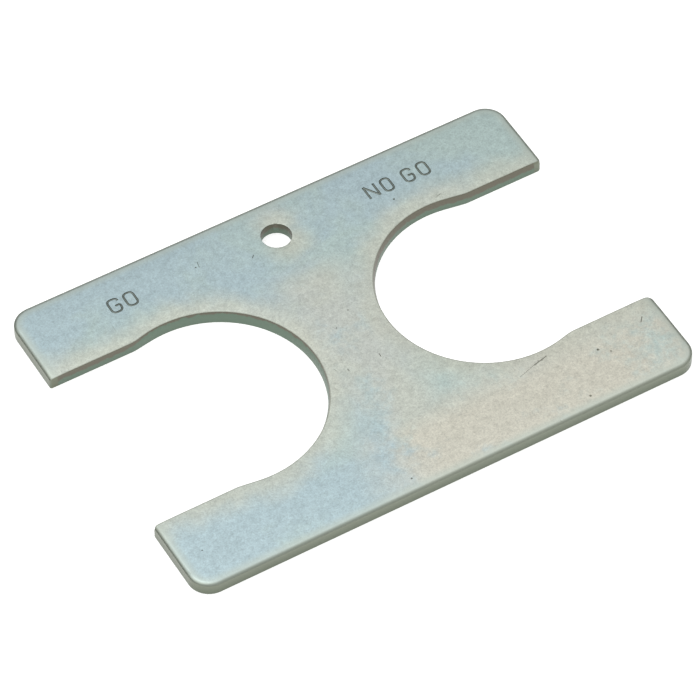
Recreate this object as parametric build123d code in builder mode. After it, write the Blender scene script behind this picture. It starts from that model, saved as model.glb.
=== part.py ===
from build123d import *
from math import acos, atan2, cos, hypot, sin, sqrt
import os

# Crimp ring gauge: a flat snap gauge for the outside of a crimped ring. It is one plate,
# blanked from sheet steel. The GO jaws open to -X and must pass over the ring, the NO GO
# jaws open to +X and must not. All sizes are millimetres. The origin is the middle of the
# underside, +Z is up out of the plate and the hanging hole is on the +Y side.

# The blank
length = 66.6  # end to end, along X
width = 46.35  # front edge to back edge, along Y
thickness = 1.8  # sheet thickness
corner_radius = 2.7  # outer corners, in plan
roll_width = 0.55  # how far in the blanking die drew the top edge down
roll_depth = 0.26  # how deep it drew it at the edge itself
edge_break = 0.12  # rounding along the underside

# The ring limits, each the distance between a pair of jaws
go_gap = 24.38
no_go_gap = 24.0

# The reliefs, round hollows behind the jaws that clear the ring
go_relief_step = 0.51  # how much deeper than its jaws each relief is cut
no_go_relief_step = 0.7
go_web = 5.2  # metal between the middle of the plate and each relief
no_go_web = 5.1

# Where each jaw's flat ends: how far its corner stands outside the line of the relief
go_back_runout = 0.74
go_front_runout = 0.74
no_go_back_runout = 0.84
no_go_front_runout = 0.29
land_corner = 5.0  # radius of that corner

# The rounding of each jaw's tip, in plan
go_back_tip = 0.26
go_front_tip = 0.58
no_go_back_tip = 0.5
no_go_front_tip = 0.95

# The sheared walls of the openings: a smooth straight land, with the torn part above it
land_height = 1.0  # up from the underside
breakout = 0.2  # how far the tear leans back at the top face
go_back_breakout = 0.03  # the same on the jaw that sheared clean

# The hanging hole
hole_radius = 1.85
hole_x = 0.1
hole_from_back_edge = 5.27
hole_rim = 0.07  # rounding of its upper edge

# How far cutters run past the plate
overrun = 2.0

end_x = length / 2


def jaw_corner(gap, relief_radius, web, runout):
    """How far from the plate's middle a jaw's flat meets its run-out."""
    relief_x = web + relief_radius
    crossing = sqrt(relief_radius**2 - (gap / 2) ** 2)
    return relief_x + crossing + runout


def jaw_edge(side, up, relief_x, relief_radius, jaw_y, corner_x, tip):
    """One jaw's outline from the mouth to the relief. Returns its two end points.

    side is -1 or 1 for the end that the jaw opens to, up is 1 for the back jaw and -1
    for the front one.
    """
    mouth = (side * (end_x + overrun), up * (jaw_y + tip))
    tip_outside = (side * end_x, up * (jaw_y + tip))
    tip_inside = (side * (end_x - tip), up * jaw_y)
    Line(mouth, tip_outside)
    TangentArc(tip_outside, tip_inside, tangent=(0, -up))

    # the run-out leaves the flat at the corner and touches the relief's circle
    corner = (side * corner_x, up * jaw_y)
    reach = corner_x - relief_x
    turn = atan2(jaw_y, reach) + acos(relief_radius / hypot(reach, jaw_y))
    touch_x = relief_x + relief_radius * cos(turn)
    touch = (side * touch_x, up * relief_radius * sin(turn))
    FilletPolyline(tip_inside, corner, touch, radius=land_corner)
    return mouth, touch


def opening_outline(side, gap, web, step, runouts, tips, relief_tear=0, jaw_tears=(0, 0)):
    """One opening's closed outline. Pairs are (back jaw, front jaw)."""
    relief_radius = gap / 2 + step
    relief_x = web + relief_radius
    corners = [jaw_corner(gap, relief_radius, web, runout) for runout in runouts]
    torn_radius = relief_radius + relief_tear
    with BuildLine() as outline:
        ends = [
            jaw_edge(side, up, relief_x, torn_radius, gap / 2 + tear, corner, tip)
            for up, tear, corner, tip in zip((1, -1), jaw_tears, corners, tips)
        ]
        (back_mouth, back_touch), (front_mouth, front_touch) = ends
        ThreePointArc(back_touch, (side * (relief_x - torn_radius), 0), front_touch)
        Line(back_mouth, front_mouth)
    return outline.edges()


# Each opening, with the tears of its two jaws
go_opening = dict(
    side=-1,
    gap=go_gap,
    web=go_web,
    step=go_relief_step,
    runouts=(go_back_runout, go_front_runout),
    tips=(go_back_tip, go_front_tip),
)
no_go_opening = dict(
    side=1,
    gap=no_go_gap,
    web=no_go_web,
    step=no_go_relief_step,
    runouts=(no_go_back_runout, no_go_front_runout),
    tips=(no_go_back_tip, no_go_front_tip),
)
openings = ((go_opening, (go_back_breakout, breakout)), (no_go_opening, (breakout, breakout)))


with BuildPart() as gauge_plate:
    with BuildSketch(Plane.XY):
        RectangleRounded(length, width, corner_radius)
    extrude(amount=thickness)

    # the edge that the die drew down, all round the top of the blank
    rim = gauge_plate.faces().sort_by(Axis.Z)[-1].outer_wire()
    up = Vector(0, 0, 1)
    across = up.cross(rim % 0)
    outward = across if across.dot(rim @ 0) > 0 else -across
    with BuildSketch(Plane(rim @ 0, x_dir=outward, z_dir=outward.cross(up))):
        with BuildLine():
            roll_centre = (-roll_width, -roll_depth)
            EllipticalCenterArc(roll_centre, roll_width, roll_depth, arc_size=90)
            Polyline((-roll_width, 0), (-roll_width, overrun), (overrun, overrun))
            Polyline((overrun, overrun), (overrun, -roll_depth), (0, -roll_depth))
        make_face()
    sweep(path=rim, mode=Mode.SUBTRACT)

    # each opening is sheared straight through, and torn wider above the land
    for opening, jaw_tears in openings:
        with BuildSketch(Plane.XY):
            make_face(opening_outline(**opening))
        extrude(amount=thickness, mode=Mode.SUBTRACT)
        with BuildSketch(Plane.XY.offset(land_height)):
            make_face(opening_outline(**opening))
        with BuildSketch(Plane.XY.offset(thickness)):
            make_face(opening_outline(**opening, relief_tear=breakout, jaw_tears=jaw_tears))
        loft(ruled=True, mode=Mode.SUBTRACT)

    with Locations((hole_x, width / 2 - hole_from_back_edge, thickness)):
        Hole(hole_radius)
    top_circles = gauge_plate.faces().sort_by(Axis.Z)[-1].inner_wires()
    fillet(top_circles[0].edges(), hole_rim)
    fillet(gauge_plate.faces().sort_by(Axis.Z)[0].edges(), edge_break)

gauge_plate.part.label = "gauge_plate"

os.makedirs("parts", exist_ok=True)
export_step(gauge_plate.part, "parts/gauge_plate.step")
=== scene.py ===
import math

import bmesh
import bpy
from mathutils import Matrix, Vector
from mathutils.kdtree import KDTree


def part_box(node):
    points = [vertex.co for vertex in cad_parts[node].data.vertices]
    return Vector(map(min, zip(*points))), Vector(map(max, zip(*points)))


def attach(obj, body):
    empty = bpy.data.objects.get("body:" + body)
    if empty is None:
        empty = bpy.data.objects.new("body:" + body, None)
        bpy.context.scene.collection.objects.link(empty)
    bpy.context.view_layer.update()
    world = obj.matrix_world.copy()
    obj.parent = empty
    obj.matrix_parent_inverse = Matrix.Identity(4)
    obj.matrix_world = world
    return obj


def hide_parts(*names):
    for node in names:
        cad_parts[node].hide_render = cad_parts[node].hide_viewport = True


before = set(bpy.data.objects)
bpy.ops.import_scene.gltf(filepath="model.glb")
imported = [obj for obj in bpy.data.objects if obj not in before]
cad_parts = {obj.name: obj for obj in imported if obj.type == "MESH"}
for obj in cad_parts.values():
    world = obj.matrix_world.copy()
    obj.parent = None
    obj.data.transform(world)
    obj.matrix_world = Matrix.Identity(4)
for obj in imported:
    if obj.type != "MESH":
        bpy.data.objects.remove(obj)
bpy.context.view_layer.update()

MM = 0.001  # sizes below are written in millimetres and multiplied by this


# The photographer's camera: a long lens, looking down on the gauge from its front left.
# It is given by where it stands round the middle of the underside.
azimuth, elevation, roll = (math.radians(a) for a in (-30.07, 50.80, -0.37))
distance, shift_right, shift_up = 587.4 * MM, -0.258 * MM, -0.413 * MM
image_width = 700
focal_length = 5042.0  # in pixels of the photograph

back = Vector((
    math.sin(azimuth) * math.cos(elevation),
    -math.cos(azimuth) * math.cos(elevation),
    math.sin(elevation),
))
level_right = Vector((math.cos(azimuth), math.sin(azimuth), 0))
level_up = back.cross(level_right)
right = level_right * math.cos(roll) + level_up * math.sin(roll)
up = level_up * math.cos(roll) - level_right * math.sin(roll)
bpy.ops.object.camera_add()
camera = bpy.context.object
camera.name = "camera"
camera.matrix_world = Matrix.Translation(
    back * distance + right * shift_right + up * shift_up
) @ Matrix((right, up, back)).transposed().to_4x4()
camera.data.sensor_width = 36
camera.data.lens = camera.data.sensor_width * focal_length / image_width
camera.data.clip_start, camera.data.clip_end = 0.01, 20
bpy.context.scene.camera = camera
bpy.context.scene.view_settings.view_transform = "Standard"


# The studio: a white tent that is brightest overhead and darker towards the table's edge,
# and a pale table top. The table carries the gauge and keeps its soft shadow.
def add_node(tree, kind, settings=(), **inputs):
    """A node of that kind. A value goes on its input, and another node's output is linked.

    An input is named by its label with _ for each space, or by its number as _0, _1, _2.
    """
    node = tree.nodes.new(kind)
    for name, value in dict(settings).items():
        setattr(node, name, value)
    for name, value in inputs.items():
        key = int(name[1:]) if name[0] == "_" and name[1:].isdigit() else name.replace("_", " ")
        if isinstance(value, bpy.types.NodeSocket):
            tree.links.new(value, node.inputs[key])
        else:
            node.inputs[key].default_value = value
    return node


def math_node(tree, operation, first, second=0.0, third=0.0):
    settings = {"operation": operation}
    node = add_node(tree, "ShaderNodeMath", settings, _0=first, _1=second, _2=third)
    return node.outputs[0]


def ease(tree, value, start, end, low=0.0, high=1.0):
    """low up to start, high from end on, and a smooth step between them."""
    settings = {"interpolation_type": "SMOOTHSTEP"}
    node = add_node(
        tree, "ShaderNodeMapRange", settings,
        Value=value, From_Min=start, From_Max=end, To_Min=low, To_Max=high,
    )
    return node.outputs["Result"]


def blend_colours(tree, amount, first, second):
    """From the first colour to the second. Inputs 6 and 7 are the node's two colours."""
    node = add_node(tree, "ShaderNodeMix", {"data_type": "RGBA"})
    for key, value in ((0, amount), (6, first), (7, second)):
        if isinstance(value, bpy.types.NodeSocket):
            tree.links.new(value, node.inputs[key])
        elif key == 0:
            node.inputs[key].default_value = value
        else:
            node.inputs[key].default_value = (*value, 1)
    return node.outputs[2]


world = bpy.data.worlds.new("white_tent")
bpy.context.scene.world = world
world.use_nodes = True
tent = world.node_tree
tent.nodes.clear()
tent_direction = add_node(tent, "ShaderNodeTexCoord").outputs["Generated"]
tent_sides = add_node(tent, "ShaderNodeSeparateXYZ", Vector=tent_direction).outputs
tent_height = tent_sides["Z"]
horizon = ease(tent, tent_sides["Y"], 0.5, -0.3, 0.03, 0.58)  # dark at the back, mid grey in front
walls_light = ease(tent, tent_height, -0.05, 0.95, horizon, 0.98)
roof_light = ease(tent, tent_height, 0.72, 1.0, 0.0, 0.04)
tent_light = math_node(tent, "ADD", walls_light, roof_light)
tent_glow = add_node(tent, "ShaderNodeBackground", Strength=tent_light, Color=(1, 1, 1, 1))
add_node(tent, "ShaderNodeOutputWorld", Surface=tent_glow.outputs[0])

bpy.ops.object.light_add(type="AREA", location=(-0.25, 0.12, 0.75))
lamp = bpy.context.object
lamp.name = "soft_box"
lamp.data.shape = "DISK"
lamp.data.size = 0.7
lamp.data.energy = 1.2
lamp.rotation_mode = "QUATERNION"
lamp.rotation_quaternion = lamp.location.to_track_quat("Z", "Y")

table_size, table_gap = 6, 0.02 * MM
table_lift = 0.58  # brings the table to white where it is seen, also in the metal
bpy.ops.object.select_all(action="DESELECT")
bpy.ops.mesh.primitive_plane_add(size=table_size, location=(0, 0, -table_gap))
table_top = bpy.context.object
table_top.name = "table_top"
table_paint = bpy.data.materials.new("table_paint")
table_paint.use_nodes = True
paint = table_paint.node_tree
paint.nodes.clear()
matt = add_node(paint, "ShaderNodeBsdfDiffuse", Color=(0.86, 0.86, 0.86, 1))
rays = add_node(paint, "ShaderNodeLightPath")
seen_by = math_node(paint, "MAXIMUM", rays.outputs["Is Camera Ray"], rays.outputs["Is Glossy Ray"])
seen_by = math_node(paint, "MAXIMUM", seen_by, rays.outputs["Is Transmission Ray"])
lift = add_node(
    paint, "ShaderNodeEmission", Color=(1, 1, 1, 1),
    Strength=math_node(paint, "MULTIPLY", seen_by, table_lift),
)
both = add_node(paint, "ShaderNodeAddShader", _0=matt.outputs[0], _1=lift.outputs[0])
add_node(paint, "ShaderNodeOutputMaterial", Surface=both.outputs[0])
table_top.data.materials.append(table_paint)


# The gauge plate: sheet steel, blanked in one blow, its openings sheared and its words
# stamped before it was barrelled and zinc plated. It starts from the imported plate's own
# mesh, and its top gets a fine grid, so that the pull of the tools round every edge shows.
plate = bpy.data.objects.new("stamped_plate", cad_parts["gauge_plate"].data.copy())
bpy.context.scene.collection.objects.link(plate)
low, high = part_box("gauge_plate")
top = high.z
grid_step = 0.45 * MM
snap_distance = 0.12 * MM  # a grid point this near an edge goes onto it
flat_limit = 0.002 * MM
worked_depth = 0.3 * MM  # how far below the top the grid and the pull reach


def edit(piece):
    """Opens a piece in edit mode with nothing selected."""
    if bpy.context.object and bpy.context.object.mode == "EDIT":
        bpy.ops.object.mode_set(mode="OBJECT")
    bpy.ops.object.select_all(action="DESELECT")
    piece.select_set(True)
    bpy.context.view_layer.objects.active = piece
    bpy.ops.object.mode_set(mode="EDIT")
    bpy.ops.mesh.select_all(action="DESELECT")


def select_upper():
    """Selects the plate's top, its rolled edge and the upper parts of its walls."""
    mesh = bmesh.from_edit_mesh(plate.data)
    for face in mesh.faces:
        face.select_set(max(v.co.z for v in face.verts) > top - worked_depth)
    mesh.select_flush(True)
    bmesh.update_edit_mesh(plate.data)


def is_flat_top(face):
    return all(abs(v.co.z - top) < flat_limit for v in face.verts)


edit(plate)
bpy.ops.mesh.select_all(action="SELECT")
bpy.ops.mesh.remove_doubles(threshold=0.0005 * MM)
bpy.ops.mesh.normals_make_consistent(inside=False)
bpy.ops.mesh.dissolve_limited(angle_limit=math.radians(0.5))
bpy.ops.mesh.select_mode(type="FACE")
for axis, start, end in ((0, low.x, high.x), (1, low.y, high.y)):
    cuts = round((end - start) / grid_step)
    normal = (1, 0, 0) if axis == 0 else (0, 1, 0)
    for i in range(1, cuts):
        place = [0.0, 0.0, top]
        place[axis] = start + (end - start) * i / cuts
        # every fourth cut goes right through, so the underside gets a wider grid
        if i % 4:
            select_upper()
        else:
            bpy.ops.mesh.select_all(action="SELECT")
        bpy.ops.mesh.bisect(plane_co=place, plane_no=normal)

# where the grid passes close by an edge, its points are drawn onto the edge
mesh = bmesh.from_edit_mesh(plate.data)
onto_edge = {}
for edge in mesh.edges:
    if edge.calc_length() < snap_distance:
        inner = [v for v in edge.verts if all(is_flat_top(face) for face in v.link_faces)]
        if len(inner) == 1:
            onto_edge[inner[0]] = edge.other_vert(inner[0])
bmesh.ops.weld_verts(mesh, targetmap=onto_edge)
bmesh.update_edit_mesh(plate.data)
bpy.ops.object.mode_set(mode="OBJECT")

# How far each point is from the nearest edge: outside, from the blank's own outline, and
# inside, from the sharp edges round the openings and the hole.
corner_radius = 2.7 * MM  # the blank's outer corners, in plan
half_length, half_width = high.x, high.y


def from_outline(point):
    along = abs(point.x) - half_length + corner_radius
    across = abs(point.y) - half_width + corner_radius
    past_corner = math.hypot(max(along, 0), max(across, 0))
    return corner_radius - past_corner - min(max(along, across), 0)


sharp_angle = math.radians(35)
rim_depth = 0.1 * MM  # the rims are at the top, down to here
outline_band = 0.3 * MM  # edges nearer the outline than this belong to the rolled edge
rim_spacing = 0.05 * MM
mesh = bmesh.new()
mesh.from_mesh(plate.data)
rim_points = []
for edge in mesh.edges:
    if len(edge.link_faces) != 2 or min(v.co.z for v in edge.verts) < top - rim_depth:
        continue
    if max(from_outline(v.co) for v in edge.verts) < outline_band:
        continue
    if edge.calc_face_angle() > sharp_angle:
        start, end = (v.co for v in edge.verts)
        steps = max(1, round((end - start).length / rim_spacing))
        rim_points += [start.lerp(end, i / steps) for i in range(steps + 1)]
mesh.free()
rim = KDTree(len(rim_points))
for i, point in enumerate(rim_points):
    rim.insert((point.x, point.y, 0), i)
rim.balance()


def from_rim(point):
    return rim.find((point.x, point.y, 0))[2]


# The punches pulled the top down a little round the openings and the hole, and the
# blanking die did so along the outline, most at the very edge.
pull_width, pull_depth = 2.0 * MM, 0.075 * MM
skirt_width, skirt_depth = 2.3 * MM, 0.10 * MM
pull_power = 1.8  # how quickly the pull grows towards the edge


def drawn_down(point):
    near = max(0, 1 - from_rim(point) / pull_width)
    side = max(0, 1 - max(from_outline(point), 0) / skirt_width)
    return pull_depth * near**pull_power + skirt_depth * side**pull_power


for vertex in plate.data.vertices:
    if vertex.co.z > top - worked_depth:
        vertex.co.z -= drawn_down(vertex.co)

# The words are struck with a single-line stamp, GO over the wider jaws and NO GO over the
# closer ones. Each stroke is a rounded groove, cut here with a swept round wire.
word_height, word_foot = 2.01 * MM, 17.12 * MM  # between the middles of the strokes
stroke_radius, stroke_lift = 0.15 * MM, 0.02 * MM
longest_rounding = 0.96  # of a side, so that two roundings never meet


def stroke(corners, closed, rounding, radius=stroke_radius, lift=stroke_lift):
    """A round wire through the corners, laid in the plate's top, with the corners eased."""
    corners = [Vector((x, y, top + lift)) for x, y in corners]
    line = []
    for i, corner in enumerate(corners):
        if not rounding or not closed and i in (0, len(corners) - 1):
            line.append(corner)
            continue
        before, after = corners[i - 1] - corner, corners[(i + 1) % len(corners)] - corner
        start = corner + before.normalized() * min(rounding, longest_rounding * before.length)
        end = corner + after.normalized() * min(rounding, longest_rounding * after.length)
        for t in (0, 0.17, 0.33, 0.5, 0.67, 0.83, 1):
            line.append(start.lerp(corner, t).lerp(corner.lerp(end, t), t))
    wire = bpy.data.curves.new("stroke", "CURVE")
    wire.dimensions = "3D"
    wire.bevel_depth, wire.bevel_resolution, wire.use_fill_caps = radius, 2, True
    spline = wire.splines.new("POLY")
    spline.points.add(len(line) - 1)
    for point, place in zip(spline.points, line):
        point.co = (*place, 1)
    spline.use_cyclic_u = closed
    piece = bpy.data.objects.new("stroke", wire)
    bpy.context.scene.collection.objects.link(piece)
    bpy.ops.object.select_all(action="DESELECT")
    piece.select_set(True)
    bpy.context.view_layer.objects.active = piece
    bpy.ops.object.convert(target="MESH")
    return piece


bar_drop = 0.04 * MM  # the bar of the G sits a little below its middle
bar_length, bar_overlap = 0.62 * MM, 0.02 * MM
hook = 0.45 * MM  # how far the top of the G turns down


def letter(kind, left, width):
    """The wires of one letter, from its left side and its width."""
    right, bottom, head = left + width, word_foot, word_foot + word_height
    middle = (bottom + head) / 2 - bar_drop
    rounding = min(0.58 * MM, 0.48 * width)
    if kind == "O":
        corners = [(left, bottom), (right, bottom), (right, head), (left, head)]
        return [stroke(corners, True, rounding)]
    if kind == "G":
        corners = [
            (right, head - hook), (right, head), (left, head), (left, bottom),
            (right, bottom), (right, middle),
        ]
        bar = [(right + bar_overlap, middle), (right - bar_length, middle)]
        return [stroke(corners, False, rounding), stroke(bar, False, 0)]
    posts = [[(left, bottom), (left, head)], [(right, bottom), (right, head)]]
    slant = [(left, head), (right, bottom)]
    return [stroke(line, False, 0) for line in (*posts, slant)]


def cut_away(cutters):
    """Cuts each cutter's shape out of the plate, then deletes the cutter."""
    for cutter in cutters:
        edit(cutter)
        bpy.ops.mesh.select_all(action="SELECT")
        bpy.ops.mesh.remove_doubles(threshold=0.001 * MM)
        bpy.ops.mesh.normals_make_consistent(inside=False)
        bpy.ops.object.mode_set(mode="OBJECT")
        cut = plate.modifiers.new("cut", "BOOLEAN")
        cut.operation, cut.object, cut.solver = "DIFFERENCE", cutter, "EXACT"
        bpy.context.view_layer.objects.active = plate
        bpy.ops.object.modifier_apply(modifier=cut.name)
        bpy.data.objects.remove(cutter)


# each letter with its left side and its width over the strokes, in millimetres
edge_of_stroke = 0.13 * MM
words = (
    ("G", -22.32, 1.58), ("O", -20.19, 1.52),
    ("N", 12.53, 1.59), ("O", 14.71, 1.41), ("G", 17.58, 1.47), ("O", 19.69, 1.46),
)
for kind, outer_left, outer_width in words:
    left, width = outer_left * MM + edge_of_stroke, outer_width * MM - 2 * edge_of_stroke
    cut_away(letter(kind, left, width))

# Knocks from the barrel: small round pits, each a little out of round. They are given by
# their places and the radius of the ball that made them, in millimetres.
pits = (
    (23.58, -16.15, 0.18), (24.76, -17.11, 0.12), (19.2, -21.52, 0.17), (14.98, 15.73, 0.15),
    (-30.2, -18.2, 0.11), (14.45, -22.85, 0.27), (-4.7, -21.4, 0.14), (-10.52, 18.43, 0.12),
    (-0.92, 2.06, 0.10), (1.61, 3.72, 0.10),
)
pit_lift = 0.45  # how far the ball's middle stands above the top, as a share of its radius
pit_roughness = 0.12  # how far its surface strays, as a share of its radius
for number, (x, y, radius) in enumerate(pits):
    bpy.ops.object.select_all(action="DESELECT")
    place = (x * MM, y * MM, top + pit_lift * radius * MM)
    bpy.ops.mesh.primitive_ico_sphere_add(subdivisions=3, radius=radius * MM, location=place)
    ball = bpy.context.object
    edit(ball)
    bpy.ops.mesh.select_all(action="SELECT")
    bpy.ops.transform.vertex_random(offset=pit_roughness * radius * MM, seed=number)
    bpy.ops.object.mode_set(mode="OBJECT")
    cut_away([ball])

# Scratches, short and shallow: the two ends of each, and the radius of the wire that cuts
# it, in millimetres.
scratches = (
    (13.71, -15.05, 15.94, -14.38, 0.0352), (16.02, -14.38, 17.94, -13.90, 0.0768),
    (16.58, -14.02, 17.26, -14.24, 0.0576), (30.63, -14.55, 30.06, -15.23, 0.0576),
    (12.97, 12.75, 13.51, 12.27, 0.0576), (-3.75, 16.62, -4.04, 16.29, 0.0576),
    (-9.99, 19.07, -10.14, 18.21, 0.048), (-4.25, -3.11, -4.15, -3.51, 0.056),
    (-2.91, -3.90, -2.86, -4.27, 0.056), (-5.50, -5.47, -5.45, -5.84, 0.056),
    (1.40, -3.76, 1.37, -4.26, 0.056), (19.44, 13.46, 20.19, 13.66, 0.072),
)
scratch_lift = 0.1875  # how far the wire's middle stands above the top, as a share of its radius
for start_x, start_y, end_x, end_y, radius in scratches:
    ends = [(start_x * MM, start_y * MM), (end_x * MM, end_y * MM)]
    cut_away([stroke(ends, False, 0, radius * MM, scratch_lift * radius * MM)])

# The distances from the outline and from the rims, in millimetres, and how deep each point is
# struck, from 0 to 1, are kept as attributes of the mesh for the plating colour, its painted shade
# and its painted highlight to follow.
shallowest_mark, deepest_mark = 0.003, 0.043
edge_gap = plate.data.attributes.new("edge_gap", "FLOAT", "POINT")
rim_gap = plate.data.attributes.new("rim_gap", "FLOAT", "POINT")
struck = plate.data.attributes.new("struck", "FLOAT", "POINT")
for vertex in plate.data.vertices:
    inset, hollow = max(from_outline(vertex.co), 0), from_rim(vertex.co)
    edge_gap.data[vertex.index].value = inset / MM
    rim_gap.data[vertex.index].value = hollow / MM
    depth = top - drawn_down(vertex.co) - vertex.co.z
    if inset > 0.7 * MM and hollow > 0.25 * MM and depth < worked_depth:
        share = (depth / MM - shallowest_mark) / (deepest_mark - shallowest_mark)
        struck.data[vertex.index].value = min(1, max(0, share))

# The sheared edges stay crisp however small the faces beside them are, and the packed
# mesh's own normals, which no longer fit, are cleared before new ones are made.
at_rim = [
    v.co.z > top - 0.12 * MM and from_rim(v.co) < 0.008 * MM for v in plate.data.vertices
]
for edge in plate.data.edges:
    edge.use_edge_sharp = all(at_rim[i] for i in edge.vertices)
bpy.ops.object.select_all(action="DESELECT")
plate.select_set(True)
bpy.context.view_layer.objects.active = plate
bpy.ops.mesh.customdata_custom_splitnormals_clear()
bpy.ops.object.shade_smooth_by_angle(angle=math.radians(30))
even = plate.modifiers.new("even", "WEIGHTED_NORMAL")
even.keep_sharp = True
bpy.ops.object.modifier_apply(modifier=even.name)


# Clear blue zinc plating. It drifts between blue, green and cream where the passivate dried, the
# cream round the openings partly a painted highlight, and painted shade darkens the rolled edge and
# outer wall. The sheared walls are green, and brown where torn.
def build_plating():
    material = bpy.data.materials.new("zinc_plate")
    material.use_nodes = True
    tree = material.node_tree
    tree.nodes.clear()
    coordinates = add_node(tree, "ShaderNodeTexCoord")
    in_mm = add_node(
        tree, "ShaderNodeMapping", Vector=coordinates.outputs["Object"], Scale=(1000, 1000, 1000)
    ).outputs[0]
    x, y, z = add_node(tree, "ShaderNodeSeparateXYZ", Vector=in_mm).outputs
    facing = add_node(tree, "ShaderNodeSeparateXYZ", Vector=coordinates.outputs["Normal"])
    slope = math_node(tree, "ABSOLUTE", facing.outputs["Z"])
    edge = add_node(tree, "ShaderNodeAttribute", {"attribute_name": "edge_gap"}).outputs["Fac"]
    rim = add_node(tree, "ShaderNodeAttribute", {"attribute_name": "rim_gap"}).outputs["Fac"]

    def noise(size, detail=2.0, roughness=0.5, vector=in_mm, distortion=0.0):
        return add_node(
            tree, "ShaderNodeTexNoise", Vector=vector, Scale=1 / size, Detail=detail,
            Roughness=roughness, Distortion=distortion,
        ).outputs["Fac"]

    blue, green = (0.472, 0.598, 0.632), (0.500, 0.622, 0.598)
    cream, beige = (0.640, 0.655, 0.555), (0.660, 0.640, 0.545)
    drift = math_node(tree, "MULTIPLY_ADD", x, 0.0035, noise(14, 4, 0.6, distortion=0.6))
    drift = ease(tree, drift, 0.40, 0.62)
    colour = blend_colours(tree, drift, blue, green)

    # cream round the openings, partly the plating's tint and partly a painted highlight, beige in
    # the middle of the web and along the front bar
    wander = math_node(tree, "MULTIPLY_ADD", noise(5, 4, 0.6), 4.0, -2.0)
    cream_and_highlight_near_rim = ease(tree, math_node(tree, "ADD", rim, wander), 0.0, 4.2, 0.75, 0.0)
    colour = blend_colours(tree, cream_and_highlight_near_rim, colour, cream)
    web_beige = math_node(
        tree, "MULTIPLY", ease(tree, math_node(tree, "ABSOLUTE", x), 1.0, 8.0, 0.65, 0.0),
        ease(tree, y, 14.0, 9.0),
    )
    bar_side = math_node(tree, "MULTIPLY_ADD", wander, 1.5, x)
    bar_beige = math_node(
        tree, "MULTIPLY", ease(tree, bar_side, -12.0, 0.0), ease(tree, y, -9.0, -17.0)
    )
    patch = ease(tree, noise(7, 5, 0.65), 0.26, 0.52)
    beigeness = math_node(tree, "MULTIPLY", math_node(tree, "MAXIMUM", web_beige, bar_beige), patch)
    colour = blend_colours(tree, math_node(tree, "MULTIPLY", beigeness, 0.95), colour, beige)

    # grain of the sheet under the plating
    grain = noise(0.17, 2, 0.7)
    mottle = noise(0.75, 4, 0.75)
    speck = ease(tree, noise(0.45, 3, 0.7), 0.60, 0.74)
    speck_grey = (0.30, 0.34, 0.30)
    brightness = math_node(tree, "MULTIPLY_ADD", grain, 0.70, 0.33)
    brightness = math_node(tree, "MULTIPLY_ADD", mottle, 0.62, brightness)

    # painted light: the plating colour is made a little brighter towards the front left and duller
    # at the back right, as a near lamp would light it
    painted_light_falloff = math_node(tree, "MULTIPLY_ADD", y, -0.0022, 1.0)
    painted_light_falloff = math_node(tree, "MULTIPLY_ADD", x, -0.0009, painted_light_falloff)
    brightness = math_node(tree, "MULTIPLY", brightness, painted_light_falloff)

    # fine scratches from the barrel, in two directions
    def fine_scratches(turn, seed):
        turned = add_node(
            tree, "ShaderNodeMapping", Vector=in_mm, Rotation=(0, 0, math.radians(turn)),
            Location=(seed, 0, 0), Scale=(1, 0.045, 1),
        ).outputs[0]
        return ease(tree, noise(0.16, 2, 0.5, vector=turned), 0.70, 0.76)

    scratched = math_node(tree, "MAXIMUM", fine_scratches(32, 3.0), fine_scratches(-12, 11.0))
    sparse = ease(tree, noise(6, 2), 0.45, 0.60)
    scratched = math_node(tree, "MULTIPLY", scratched, sparse)
    settings = {"operation": "SCALE"}
    colour = add_node(tree, "ShaderNodeVectorMath", settings, _0=colour, Scale=brightness).outputs[0]
    colour = blend_colours(tree, math_node(tree, "MULTIPLY", speck, 0.30), colour, speck_grey)

    # the outline is greener. Painted shade: the steeper a face and the nearer the outline, the more
    # it takes a dark wall colour, which is darker towards the bottom
    skirt_green = (0.545, 0.610, 0.545)
    low_wall_shade, high_wall_shade = (0.150, 0.174, 0.130), (0.200, 0.220, 0.172)
    skirt = ease(tree, edge, 1.6, 0.3, 0.0, 0.7)
    colour = blend_colours(tree, skirt, colour, skirt_green)
    painted_slope_shade = math_node(
        tree, "MAXIMUM", ease(tree, slope, 0.93, 0.35), ease(tree, edge, 0.50, 0.10, 0.0, 0.8)
    )
    painted_wall_shade = blend_colours(tree, ease(tree, z, 0.1, 1.6), low_wall_shade, high_wall_shade)
    colour = blend_colours(tree, painted_slope_shade, colour, painted_wall_shade)
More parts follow.
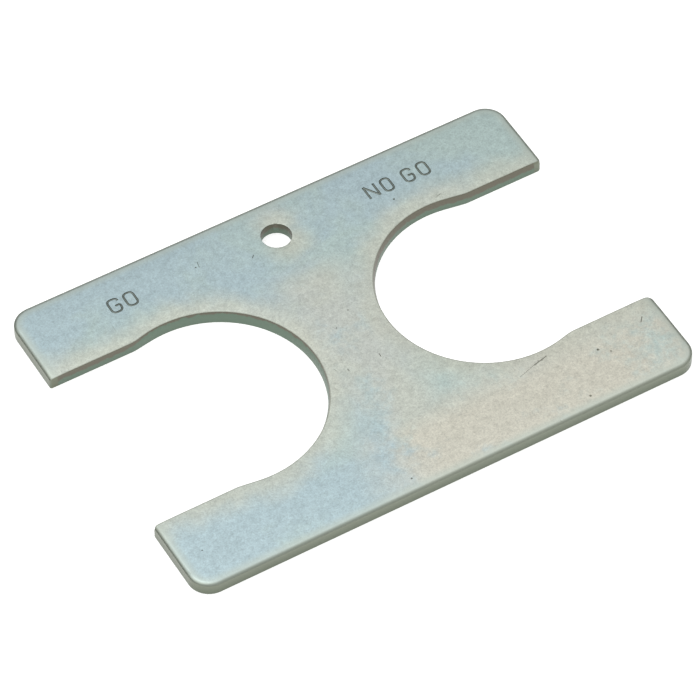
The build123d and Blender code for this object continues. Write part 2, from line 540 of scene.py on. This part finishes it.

    # the openings' walls: painted shade as a dark line at the rim and along the top of the wall,
    # green on the land and brown where torn
    rim_shade_brown, tear_brown = (0.150, 0.155, 0.110), (0.145, 0.136, 0.106)
    land_green = (0.138, 0.188, 0.145)
    painted_rim_shade = ease(tree, rim, 0.15, 0.02, 0.0, 0.6)
    colour = blend_colours(tree, painted_rim_shade, colour, rim_shade_brown)
    on_wall = ease(tree, slope, 0.60, 0.35)
    inside = ease(tree, edge, 0.9, 1.1)
    ragged = math_node(tree, "MULTIPLY_ADD", noise(1.1, 4, 0.7), 1.1, z)
    # the GO relief sheared almost clean, so its tear starts higher up
    clean_cut = math_node(
        tree, "MULTIPLY", ease(tree, x, -24.5, -19.5), ease(tree, x, -2.0, -5.0)
    )
    ragged = math_node(tree, "MULTIPLY_ADD", clean_cut, -0.55, ragged)
    torn = ease(tree, ragged, 1.38, 1.62)
    wall = blend_colours(tree, torn, land_green, tear_brown)
    # painted shade: the top of each opening's wall is drawn nearly black
    painted_lip_shade, lip_shade_black = ease(tree, z, 1.62, 1.70, 0.0, 0.55), (0.075, 0.070, 0.050)
    wall = blend_colours(tree, painted_lip_shade, wall, lip_shade_black)
    wall_share = math_node(tree, "MULTIPLY", on_wall, inside)
    colour = blend_colours(tree, wall_share, colour, wall)

    # dull lines in the fine scratches, and what is struck or cut is darker the deeper it goes
    scratch_grey, struck_brown = (0.22, 0.25, 0.22), (0.095, 0.098, 0.066)
    colour = blend_colours(tree, math_node(tree, "MULTIPLY", scratched, 0.28), colour, scratch_grey)
    struck_darkening = add_node(tree, "ShaderNodeAttribute", {"attribute_name": "struck"}).outputs["Fac"]
    colour = blend_colours(tree, math_node(tree, "MULTIPLY", struck_darkening, 0.75), colour, struck_brown)

    metal = add_node(tree, "ShaderNodeBsdfPrincipled", Base_Color=colour, Metallic=0.85)
    roughness = math_node(tree, "MULTIPLY_ADD", grain, 0.12, 0.34)
    roughness = math_node(tree, "MULTIPLY_ADD", ease(tree, edge, 1.0, 0.3), -0.06, roughness)
    tree.links.new(roughness, metal.inputs["Roughness"])
    relief = math_node(tree, "MULTIPLY_ADD", scratched, -0.6, grain)
    bump = add_node(tree, "ShaderNodeBump", Height=relief, Strength=0.14, Distance=0.02 * MM)
    tree.links.new(bump.outputs[0], metal.inputs["Normal"])
    add_node(tree, "ShaderNodeOutputMaterial", Surface=metal.outputs[0])
    return material


plate.data.materials.clear()
plate.data.materials.append(build_plating())
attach(plate, "root")
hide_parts("gauge_plate")
